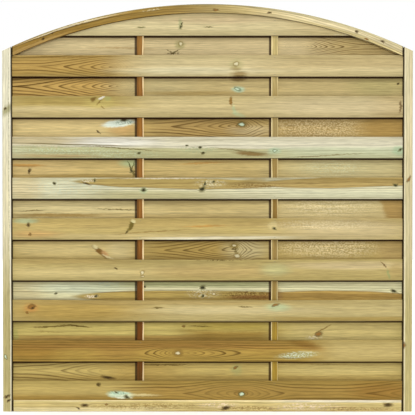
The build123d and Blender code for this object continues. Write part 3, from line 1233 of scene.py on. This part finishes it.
# Rows of slats from the lowest up
SLAT_LOOKS: tuple[SlatLook, ...] = (
    SlatLook(
        "a08342",
        Figure(-8, 9, spacing=14.0, contrast=0.85, fades=((-300, -460),)),
        swells=(Swell(151, -10, 340, 260, 130, 80), Swell(1040, -6, 480, 60, 130, 90)),
        stains=(
            Streak(-620, 18, 300, 34, "b39e5e", 0.92, 0.4),
            Streak(-200, -38, 700, 10, "9c7c3a", 0.6),
            Stain(770, 0, 130, 60, "8f6a2c", 0.7),
            Stain(-385, -14, 54, 15, "cfe3c6", 0.95, 0.35, -4),
            Speckle(-396, -4, 40, 9, "6f9a80", 0.7, 0.5, -6),
            Speckle(-372, -24, 34, 7, "f4f1da", 0.8, 0.5, -4),
            Stain(-290, -15, 70, 4, "dccf9a", 0.6, 0.7),
            Stain(151, -4, 32, 15, "8a6a30", 0.6, 0.5),
        ),
        knots=(
            Knot(-476, 31, 8, 7, DARK),
            Knot(-404, -2, 7, 4, PIN, -30),
            Knot(-354, -24, 13, 6, PIN, -30),
            Knot(151, -12, 13, 9, GREEN),
        ),
    ),
    SlatLook(
        "bfa964",
        Figure(2, 8, spacing=15.0, contrast=0.8, fades=((-520, -420),)),
        swells=(Swell(-420, -2, 430, 80, 130, 85),),
        stains=(
            Stain(-280, 0, 160, 50, "ae9350"),
            Streak(0, -34, 900, 16, "a68a46", 0.7),
            Stain(-178, 27, 100, 2.4, "5f4c1c", 0.8, 0.5, -1),
            Stain(-300, 26, 40, 2, "6d5a24", 0.6, 0.6, 3),
            Stain(600, 8, 300, 30, "c2b276", 0.5),
            Stain(129, 6, 22, 22, "a5a468", 0.7),
            Stain(500, 30, 240, 2.2, "8a7438", 0.5, 0.6, -1.5),
        ),
        knots=(Knot(-437, -29, 26, 8, DARK, -12), Knot(126, 14, 8, 5, SOUND, 30)),
    ),
    SlatLook(
        "ab8d44",
        Figure(-10, 20, spacing=10.0, contrast=0.9, fades=((330, 480),)),
        swells=(Swell(-130, -10, 200, 400, 60, 75),),
        stains=(
            Stain(-780, 0, 120, 60, "92702f"),
            Stain(-400, 0, 90, 50, "9c7a3c", 0.6),
            Streak(-250, 32, 640, 22, "946f34", 0.9, 0.5),
            Streak(700, 0, 210, 60, "b9a66c", 0.9, 0.5),
            Stain(430, 28, 70, 16, "845f26", 0.8, 0.6, -14),
            Stain(395, -18, 80, 15, "a9a468", 0.7, 0.5, 4),
            Speckle(395, -18, 76, 13, "dfead4", 0.75, 0.5, 4),
            Stain(-130, -10, 22, 15, "7a5a26", 0.6, 0.5),
        ),
        knots=(Knot(-130, -9, 12, 8, PALE),),
        sag=0.5,
    ),
    SlatLook(
        "c2b067",
        Figure(24, 42),
        stains=(
            Streak(-420, -36, 480, 14, "aa8846", 0.85, 0.5),
            Streak(110, -26, 200, 24, "957632", 0.85, 0.5),
            Streak(110, 20, 190, 20, "a08a34", 0.6),
            Stain(-690, 17, 80, 3.4, "63501c", 0.9, 0.5, 3),
            Stain(-580, 20, 60, 3.2, "63501c", 0.9, 0.5, -5),
            Stain(-700, -6, 60, 2.2, "8a7434", 0.5, 0.6, -3),
            Stain(-30, 18, 44, 2.4, "5a4818", 0.85, 0.5, -2),
            Stain(620, 0, 280, 60, "bfac74", 0.6, 0.5),
            Speckle(466, -32, 30, 7, "e6dcc0"),
            Stain(505, 4, 40, 3, "7a5f2a", 0.8, 0.5, 28),
            Stain(-845, -18, 12, 24, "a9a45c", 0.7),
        ),
        knots=(Knot(490, -17, 16, 8, SOUND, 12), Knot(-103, 18, 5, 4, SOUND)),
    ),
    SlatLook(
        "b9a872",
        Figure(-20, 40, contrast=0.17),
        stains=(
            Stain(-600, 0, 320, 60, "b09249", 0.85),
            Streak(-200, 34, 700, 8, "b89d62", 0.6),
            Streak(620, -38, 330, 9, "ad9350", 0.8, 0.5),
            Stain(100, 0, 340, 14, "d5c593", 0.6, 0.7),
            Stain(310, 14, 50, 16, "b9c596"),
            Stain(-220, 12, 24, 2.4, "5f4e1e", 0.85, 0.5),
            Stain(165, 17, 30, 2.4, "5f4e1e", 0.85, 0.5, -2),
            Stain(-775, 12, 30, 18, "c08a48", 0.75),
        ),
        knots=(Knot(-774, 18, 15, 9), Knot(-766, 14, 6, 5, DARK), Knot(-792, -10, 6, 5),
               Knot(300, 24, 16, 5, SOUND, 15)),
        sag=4.0,
    ),
    SlatLook(
        "dad5a8",
        Figure(-26, 26, spacing=9.0, contrast=0.5),
        stains=(
            Stain(-800, 0, 80, 60, "cbbd8d"),
            Stain(-560, 12, 200, 26, "cbd2b4"),
            Speckle(-430, 30, 60, 14, "bccfc8", 0.7),
            Streak(-60, 28, 360, 14, "a9ad7c", 0.85, 0.5),
            Stain(-92, -29, 490, 28, "6a5428", 0.8, 0.08),
            Stain(-90, -30, 482, 26, "b9a058", 0.95, 0.1),
            Stain(620, -40, 420, 36, "7a6030", 0.8, 0.06, -1.0),
            Stain(620, -42, 414, 35, "bb9a52", 0.95, 0.08, -1.0),
            Stain(300, -30, 30, 30, "a68550", 0.8, 0.5),
            Speckle(180, -24, 115, 18, "5c4014", 0.85, 0.5),
            Stain(190, -32, 100, 9, "7a4f28", 0.7, 0.5),
            Speckle(-510, -30, 30, 7, "f2e6cc", 0.95, 0.4),
            Speckle(-20, -14, 60, 22, "d9d4b4", 0.7, 0.5),
        ),
        knots=(
            Knot(-669, -15, 6, 5, PIN),
            Knot(-490, -28, 6, 5, PIN),
            Knot(-20, 11, 12, 9, PIN, 20),
            Knot(-24, -26, 9, 5, PIN, 40),
            Knot(26, -16, 9, 6, PALE),
            Knot(-280, 14, 8, 5, PIN),
            Knot(822, -4, 12, 7, PIN, -20),
        ),
    ),
    SlatLook(
        "b6a368",
        Figure(20, 48, contrast=0.17),
        stains=(
            Streak(-560, -20, 320, 26, "d0be84", 0.7),
            Streak(-640, 36, 260, 8, "b79d62", 0.6),
            Stain(40, -10, 300, 26, "bda268", 0.6),
            Stain(640, 20, 260, 16, "d6c294", 0.7),
            # painted shade along the top edge, broken into specks
            Speckle(54, 43, 100, 3, "4f3816", 0.9),
            Stain(300, 0, 60, 26, "bcc08a", 0.5),
            Stain(776, 22, 18, 3, "6f5228", 0.85, 0.5, -45),
            Stain(796, -20, 5, 22, "93a068", 0.8, 0.5, 18),
            Stain(830, 0, 30, 30, "b39b62", 0.7),
        ),
        knots=(Knot(-288, -12, 8, 11, PALE), Knot(-284, -30, 7, 5, PALE),
               Knot(-400, 6, 7, 3, DARK, -20)),
        sag=3.2,
    ),
    SlatLook(
        "b59e5e",
        Figure(-4, 8, spacing=14.0, contrast=0.85, fades=((-180, -330), (180, 280))),
        swells=(Swell(120, 4, 420, 110, 130, 85),),
        stains=(
            Stain(-640, 10, 300, 44, "d2be82", 0.85),
            Stain(-380, 0, 60, 50, "d3c28c", 0.7),
            Stain(-80, -6, 210, 60, "ab8f4c", 0.85),
            Stain(540, 10, 210, 44, "b09a62"),
            Speckle(540, 10, 200, 40, "e2d09e", 0.9),
            Stain(830, -4, 80, 60, "b0965e", 0.75, 0.5),
            Stain(-474, -12, 42, 11, "7a5622", 0.95, 0.3, -38),
            Stain(-496, 10, 12, 8, "e6daa2", 0.9, 0.5, -30),
            Stain(-452, -20, 20, 9, "c49a66", 0.8, 0.5, -38),
            Stain(-440, -34, 26, 4, "e8dba6", 0.7, 0.5, -20),
            Stain(170, 0, 90, 44, "c6b98a", 0.7),
            Stain(118, 14, 20, 14, "8f7a36", 0.7, 0.5),
            Stain(126, -16, 6, 26, "6f5f2a", 0.7, 0.5, 8),
        ),
        knots=(Knot(118, 16, 9, 6, PALE), Knot(128, -30, 15, 10, PALE)),
    ),
    SlatLook(
        "bba668",
        Figure(28, 34),
        stains=(
            Streak(0, 28, 900, 18, "bda465", 0.75),
            Streak(0, -34, 900, 12, "d4c18a", 0.7),
            # painted highlight along the lower edge
            Streak(60, -39, 300, 6, "f2e9c8", 0.95, 0.5, 0.6),
            Stain(-760, -22, 100, 14, "d1a869", 0.7, 0.7),
            Stain(-800, 36, 50, 10, "bac69a", 0.85),
            Stain(-12, 14, 80, 4, "c08f45", 0.7, 0.6, 2),
            Stain(-240, -12, 140, 2.4, "8a6a2e", 0.6, 0.6, 4),
            Stain(-338, 14, 9, 28, "6a5a1e", 0.9, 0.4, -28),
            Stain(-324, 36, 11, 7, "eadfa4", 0.95, 0.4, -20),
            Stain(-352, -14, 5, 8, "4a3c14", 0.8, 0.5, -28),
            Stain(286, 18, 18, 18, "d9c688", 0.8, 0.5),
            Stain(620, 0, 280, 50, "cab88c", 0.7),
            Speckle(520, 20, 200, 20, "decfa4", 0.7),
        ),
        knots=(Knot(-788, 18, 6, 9, DARK), Knot(-780, -22, 5, 6), Knot(294, 2, 8, 5, PIN, -30)),
    ),
    SlatLook(
        "cab780",
        Figure(30, 50, contrast=0.22),
        stains=(
            Streak(-620, 6, 300, 24, "d8c892"),
            Streak(-650, -30, 170, 7, "a48544"),
            Streak(-100, -34, 300, 10, "b39b5e", 0.6),
            Stain(0, 8, 260, 30, "c2ac70", 0.6),
            Stain(-390, -2, 90, 2.6, "63521e", 0.85, 0.5, -2),
            Stain(-770, -8, 50, 2.4, "6f5c26", 0.8, 0.5, 2),
            Speckle(540, 10, 180, 40, "e0d0a0", 0.9),
            Streak(850, 4, 74, 60, "ab8a4c", 0.85, 0.18, 18),
        ),
    ),
    SlatLook(
        "d6d1ac",
        Figure(34, 26, spacing=9.0, contrast=0.45),
        stains=(
            Stain(-800, 0, 70, 60, "d2c294", 0.85, 0.5),
            Speckle(-560, 4, 190, 44, "cdd3b8"),
            Streak(-250, -30, 260, 20, "bfb888"),
            Stain(-138, 22, 440, 24, "6b5a2c", 0.85, 0.07, -1.0),
            Stain(-136, 23, 434, 23, "b49d5e", 0.97, 0.1, -1.0),
            Stain(620, 27, 400, 24, "7a6634", 0.8, 0.06, 1.2),
            Stain(620, 28, 394, 23, "b69d60", 0.97, 0.1, 1.2),
            Stain(210, 22, 60, 22, "a8925a", 0.85, 0.5),
            Speckle(200, 12, 110, 10, "7f5f2c"),
            Streak(600, -28, 300, 16, "dadab8", 0.7, 0.5),
            Speckle(-520, 34, 34, 6, "f0ead0", 0.9, 0.4),
            # painted highlight along the top edge
            Stain(-190, 44, 170, 2.6, "f4edd2", 0.85, 0.5),
            Speckle(10, 22, 60, 16, "d9d3ae", 0.85, 0.5),
            Stain(-279, -10, 16, 12, "b9c79c", 0.8, 0.5),
        ),
        knots=(
            Knot(-672, 22, 7, 5, PIN),
            Knot(-496, 36, 5, 8, PIN),
            Knot(-530, 20, 16, 4, DARK, -20),
            Knot(-22, -2, 13, 9, PIN, 30),
            Knot(-14, 20, 5, 8, PIN),
            Knot(-279, -7, 9, 7, PIN),
            Knot(24, 28, 7, 5, PIN),
            Knot(824, 15, 9, 6, PIN),
        ),
    ),
    SlatLook(
        "c8b072",
        Figure(10, 30),
        stains=(
            Stain(-760, 0, 160, 60, "d2b87c"),
            Stain(-800, 12, 70, 6, "cc9a50", 0.85),
            Stain(640, 0, 330, 60, "c6ba88", 0.85),
            Speckle(560, 0, 120, 30, "cfd0a6", 0.6),
            Stain(-340, 22, 44, 18, "b4c08e", 0.85),
            Stain(-344, 8, 3, 22, "4c4a20", 0.9, 0.4, 18),
            Stain(-330, 10, 3, 20, "5a5a2c", 0.8, 0.4, -20),
            Stain(-326, -24, 5, 16, "5a5224", 0.8, 0.5, -4),
            Stain(-20, 22, 90, 4, "c29149", 0.7, 0.6, 2),
            Stain(-580, -36, 300, 8, "a08440", 0.6),
        ),
        knots=(Knot(-783, -13, 6, 10, DARK), Knot(-336, -12, 6, 9, PIN)),
    ),
    SlatLook(
        "d8d2b6",
        Figure(32, 40, spacing=9.0, contrast=0.32),
        stains=(
            Stain(-440, 26, 200, 20, "ebe8da", 0.9),
            Stain(-740, 30, 170, 20, "d0bf92"),
            Streak(100, -32, 1000, 28, "b9b484", 0.95, 0.2, -0.6),
            Speckle(-560, -16, 330, 22, "a9ae78", 0.8, 0.4, -2),
            Speckle(-560, -22, 330, 20, "d0d8b4", 0.7, 0.5, -2),
            Stain(-660, -36, 150, 8, "c2a878"),
            Streak(620, -22, 300, 24, "c8cca8", 0.85, 0.4),
            Stain(-600, 14, 280, 2.6, "6f6436", 0.85, 0.5, -1.6),
            Stain(-360, -4, 150, 2.6, "6f6436", 0.85, 0.5, -4),
            Speckle(-40, -8, 90, 14, "a9b088", 0.8, 0.5),
            Stain(190, -26, 70, 9, "7f5f2e", 0.85, 0.5, -4),
            Stain(150, -14, 110, 2.4, "7a6a3a", 0.7, 0.5, -6),
            Stain(520, -34, 150, 2.2, "7a6a3a", 0.7, 0.5, 3),
            Stain(294, -14, 26, 14, "b4c8a4", 0.8, 0.5),
            Stain(840, -14, 26, 18, "a9bf98", 0.8, 0.5),
        ),
        knots=(
            Knot(-90, 10, 6, 4, PIN),
            Knot(-33, 1, 6, 5, PIN),
            Knot(-20, -23, 7, 5, PIN),
            Knot(-301, -23, 7, 5, PIN),
            Knot(294, -14, 8, 6, GREEN),
            Knot(846, -10, 9, 5, PIN, 30),
        ),
    ),
    SlatLook(
        "bea364",
        Figure(4, 8, spacing=14.0, contrast=0.9, fades=((-180, -330), (200, 300))),
        swells=(Swell(150, 8, 400, 130, 130, 85),),
        stains=(
            Streak(-640, 0, 260, 60, "d6c086", 0.9, 0.4),
            Stain(-20, 0, 200, 60, "ac8d52", 0.7),
            Stain(-372, -8, 60, 26, "cda66a", 0.7, 0.5),
            Stain(-386, 17, 72, 15, "e4eedd", 0.98, 0.3, 5),
            Speckle(-360, 22, 44, 11, "6f8f78", 0.75, 0.5, 5),
            Speckle(-330, 10, 34, 6, "e0d49c", 0.7, 0.5),
            Stain(490, 0, 200, 60, "a08652", 0.85),
            Speckle(490, 0, 196, 56, "dcc692", 0.85),
            Stain(790, 0, 120, 60, "ab8a4a", 0.85, 0.5),
            Stain(190, -14, 90, 24, "cbb98c", 0.6),
            Stain(149, 10, 30, 17, "8f6f36", 0.6, 0.5),
        ),
        knots=(Knot(-367, 32, 14, 7, PIN), Knot(-478, -20, 4, 10, DARK, 42),
               Knot(149, 13, 14, 10, GREEN)),
    ),
    SlatLook(
        "c7b582",
        Figure(-26, 45, contrast=0.24),
        stains=(
            Streak(-620, 26, 290, 24, "ab9450", 0.9, 0.5),
            Stain(-640, -30, 250, 14, "c9b47c", 0.7),
            Stain(800, 0, 80, 60, "a98f58", 0.85),
            Stain(600, 0, 330, 60, "d0bf94", 0.7),
            Stain(-470, 18, 60, 24, "bfae66", 0.7),
            Stain(-462, 38, 15, 6, "f4eeda", 0.97, 0.35, 24),
            Stain(-436, 36, 14, 9, "a9a868", 0.8, 0.5),
            Stain(-500, 32, 14, 8, "6f5020", 0.9, 0.5, 20),
            Stain(-474, 22, 18, 3, "7a5f2a", 0.7, 0.5, 40),
            Stain(-462, -2, 12, 3, "8a7038", 0.7, 0.5, -40),
            Stain(118, -14, 7, 24, "b4c294", 0.7, 0.6, 20),
            Stain(140, -34, 26, 9, "b9c79a", 0.6, 0.6, -20),
            Stain(103, 26, 7, 18, "8a6428", 0.95, 0.45),
            Stain(846, 0, 6, 26, "5f4822", 0.8, 0.5),
        ),
    ),
    SlatLook(
        "c2ae78",
        Figure(0, 7, spacing=15.0, contrast=1.0, fades=((-430, -360),)),
        swells=(Swell(-390, 0, 520, 90, 140, 130),),
        stains=(
            Streak(-660, 0, 290, 60, "c4a058", 0.95, 0.5),
            Stain(-240, 0, 180, 60, "c0b07e", 0.7),
            Stain(-80, -30, 220, 10, "ab9050", 0.6),
            Stain(760, 6, 130, 50, "aaa068", 0.6),
            Stain(138, 33, 34, 8, "6a5226", 0.75),
            Stain(133, -12, 26, 13, "b4d0b0", 0.9, 0.5),
        ),
        knots=(Knot(130, -11, 14, 7, GREEN, -20), Knot(840, 12, 6, 3, DARK, 30)),
    ),
    SlatLook(
        "cbba8a",
        Figure(-4, 7, spacing=14.0, contrast=0.85, fades=((-440, -370),)),
        swells=(Swell(-400, -6, 400, 90, 130, 85),),
        stains=(
            Streak(-670, 0, 300, 60, "b4924c", 0.95, 0.5),
            Stain(-600, 41, 180, 4, "8a6830", 0.7, 0.5),
            Stain(-60, -22, 300, 16, "e2d7ac"),
            Streak(640, 20, 330, 26, "bea977"),
            Stain(127, 9, 26, 20, "b4ad78", 0.7),
            Stain(138, -33, 34, 9, "8f7038", 0.7),
            Stain(140, -43, 32, 4, "4f3816"),
            Stain(124, -12, 22, 9, "a08a50", 0.6),
        ),
        knots=(Knot(127, 10, 11, 9, PALE, 30),),
    ),
    SlatLook(
        "ccb98a",
        Figure(-4, 9, spacing=8.0, contrast=1.0, fades=((480, 420),)),
        swells=(Swell(395, -2, 80, 300, 130, 80),),
        stains=(
            Stain(-560, 12, 300, 22, "d6c392", 0.7),
            Stain(-380, -10, 120, 3, "b08f58", 0.6, 0.6, -2),
            Stain(690, 0, 210, 60, "b69e64", 0.85),
            Stain(-123, 4, 20, 16, "96915c", 0.75),
            Speckle(-150, -34, 30, 5, "453a18", 0.9, 0.5),
            Stain(-140, -26, 20, 2.4, "5a4c20", 0.8, 0.5, 30),
            Stain(-165, -26, 16, 2.4, "5a4c20", 0.8, 0.5, -35),
        ),
        knots=(Knot(-121, 9, 9, 8, PALE, 30),),
    ),
    SlatLook(
        "d0c192",
        Figure(-40, 60),
        stains=(
            Stain(40, 26, 240, 20, "c9b288", 0.7),
            Stain(560, 0, 220, 60, "c9b583", 0.7),
            Stain(-446, 14, 16, 2.6, "77703c", 0.85, 0.5),
            Stain(-294, -10, 18, 2.8, "6a683a", 0.9, 0.5),
            Stain(6, -9, 20, 2.6, "5f5628", 0.9, 0.5),
            Stain(-118, 6, 8, 22, "a3a676", 0.75),
            Speckle(600, -42, 40, 4, "f0e6c4", 0.7, 0.5),
        ),
        knots=(Knot(-115, -8, 6, 7, PIN), Knot(-112, 6, 4, 6, PIN)),
        bands=0.08,
    ),
)

LEFT_BATTEN = PineFinish(
    "99672e",
    Figure(30, 40, spacing=9.0, contrast=0.4),
    stains=(
        Stain(-600, 0, 420, 40, "66380c", 0.9),
        Stain(358, 0, 90, 40, "a6702e"),
        Stain(-790, 0, 90, 40, "563810", 0.9, 0.5),
        Stain(740, 0, 160, 40, "9a7036"),
        Streak(0, -12, 1000, 4, "5f3a16", 0.5),
        # pale sapwood along the right arris, with a painted highlight on that arris
        Streak(0, 13, 1000, 3.2, "f2d8a4", 0.95, 0.4),
    ),
    seed=21.0,
)
RIGHT_BATTEN = PineFinish(
    "9d834a",
    Figure(-30, 40, spacing=9.0, contrast=0.35),
    stains=(
        Stain(740, 0, 220, 40, "cdb97c", 0.9),
        Stain(-660, 0, 240, 40, "a4862c", 0.85),
        Stain(-2, 0, 80, 40, "86682e"),
        Stain(358, 0, 90, 40, "ab9560"),
        # painted highlights along both arrises
        Streak(0, -13, 1000, 2.6, "ead7a2", 0.8, 0.5),
        Streak(0, 13.5, 1000, 2.2, "e2cf98", 0.7, 0.5),
    ),
    seed=22.0,
)
LEFT_STILE = PineFinish(
    "ddd4b0",
    Figure(50, 60, spacing=10.0, contrast=0.22),
    stains=(
        Stain(640, 0, 300, 60, "e4dfc4"),
        Stain(-560, 0, 420, 60, "a99c64", 0.9),
        # painted highlight along the inner arris
        Streak(0, 14.5, 900, 2.4, "f6efd6", 0.8, 0.5),
        Speckle(0, 9, 800, 1.6, "7f7a4a", 0.5, 0.5, oblong=True),
        Stain(527, 2, 30, 14, "948f58", 0.75, 0.6, 40),
    ),
    knots=(Knot(530, -4, 6, 4, DARK, 50), Knot(-732, -2, 14, 5, DARK, 60),
           Knot(-560, -8, 9, 6, GREEN), Knot(-750, 6, 10, 4, DARK, 50)),
    seed=23.0,
    bands=0.08,
    hairs=0.12,
)
RIGHT_STILE = PineFinish(
    "cfc296",
    Figure(-50, 60, spacing=10.0, contrast=0.25),
    stains=(
        Stain(640, 0, 300, 60, "d9cda4"),
        Stain(-560, 0, 380, 60, "aa9d66", 0.85),
        # painted highlight along the inner arris
        Streak(0, -13.5, 900, 2.6, "efe6c2", 0.6, 0.5),
    ),
    knots=(Knot(222, 3, 13, 4, SOUND, 30), Knot(-509, -15, 12, 6, SOUND)),
    seed=24.0,
    bands=0.1,
    hairs=0.15,
)
ARCH_RAIL = PineFinish(
    "c3ad70",
    Figure(-50, 40, taper=0.02, spacing=9.0, contrast=0.5),
    stains=(
        Streak(-560, 0, 480, 60, "8e6e2c", 0.95, 0.5),
        Stain(-300, 4, 230, 20, "a98a44", 0.7),
        Stain(-790, -12, 150, 8, "bd9a58"),
        Stain(620, 0, 360, 60, "dacca2", 0.9),
        # painted highlight along the lower arris
        Streak(680, -13, 260, 6, "e0cc8c"),
        Stain(560, 12, 340, 5, "b7ac82", 0.7),
        Stain(-600, 12, 190, 3, "e0d5b0"),
        Stain(-560, 6, 260, 2.4, "4a3612", 0.8, 0.5, -0.6),
        Speckle(-250, 8, 40, 3, "efe2b4", 0.7, 0.5),
        Streak(0, 18.5, 1000, 2.4, "8d8a62", 0.6, 0.5),
    ),
    knots=(
        Knot(-735, -1, 7, 4, DARK),
        Knot(-690, 6, 6, 4, DARK),
        Knot(37, -6, 10, 5, SOUND),
        Knot(270, 0, 8, 4, DARK),
        Knot(662, 4, 8, 4, DARK),
        Knot(712, -12, 8, 4, SOUND),
        Knot(785, 4, 8, 4, DARK),
    ),
    seed=25.0,
    bands=0.3,
)
BOTTOM_RAIL = PineFinish(
    "c6b376",
    Figure(40, 50, spacing=10.0, contrast=0.35),
    stains=(
        Streak(-560, -16, 320, 9, "ddd0a0"),
        # painted highlight along the top edge and weather bevel
        Streak(0, 23, 900, 3, "e6d8a8", 0.6, 0.5),
        Streak(600, 20, 260, 5, "f2e9cc", 0.9, 0.5),
        Speckle(-250, -2, 240, 12, "8f7236", 0.7),
        Speckle(50, 4, 80, 11, "e2cfae", 0.9),
        Speckle(200, -10, 130, 9, "7f6230"),
        Speckle(440, -4, 130, 14, "e2cfb2", 0.9),
        Speckle(640, -14, 180, 8, "8f7040"),
    ),
    knots=(
        Knot(-540, 4, 14, 7, DARK),
        Knot(-569, -10, 8, 4, DARK, -30),
        Knot(-446, 8, 6, 4, SOUND),
        Knot(80, -9, 18, 7, DARK, 15),
        Knot(795, 5, 18, 7, DARK),
    ),
    seed=26.0,
)


def main() -> None:
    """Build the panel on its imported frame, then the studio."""
    logging.basicConfig(level=logging.INFO, format="%(name)s: %(message)s")
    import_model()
    for assembly in (Frame(), Battens(), Slats(), Staples()):
        assembly.build()
    Studio().build()


if __name__ == "__main__":
    main()
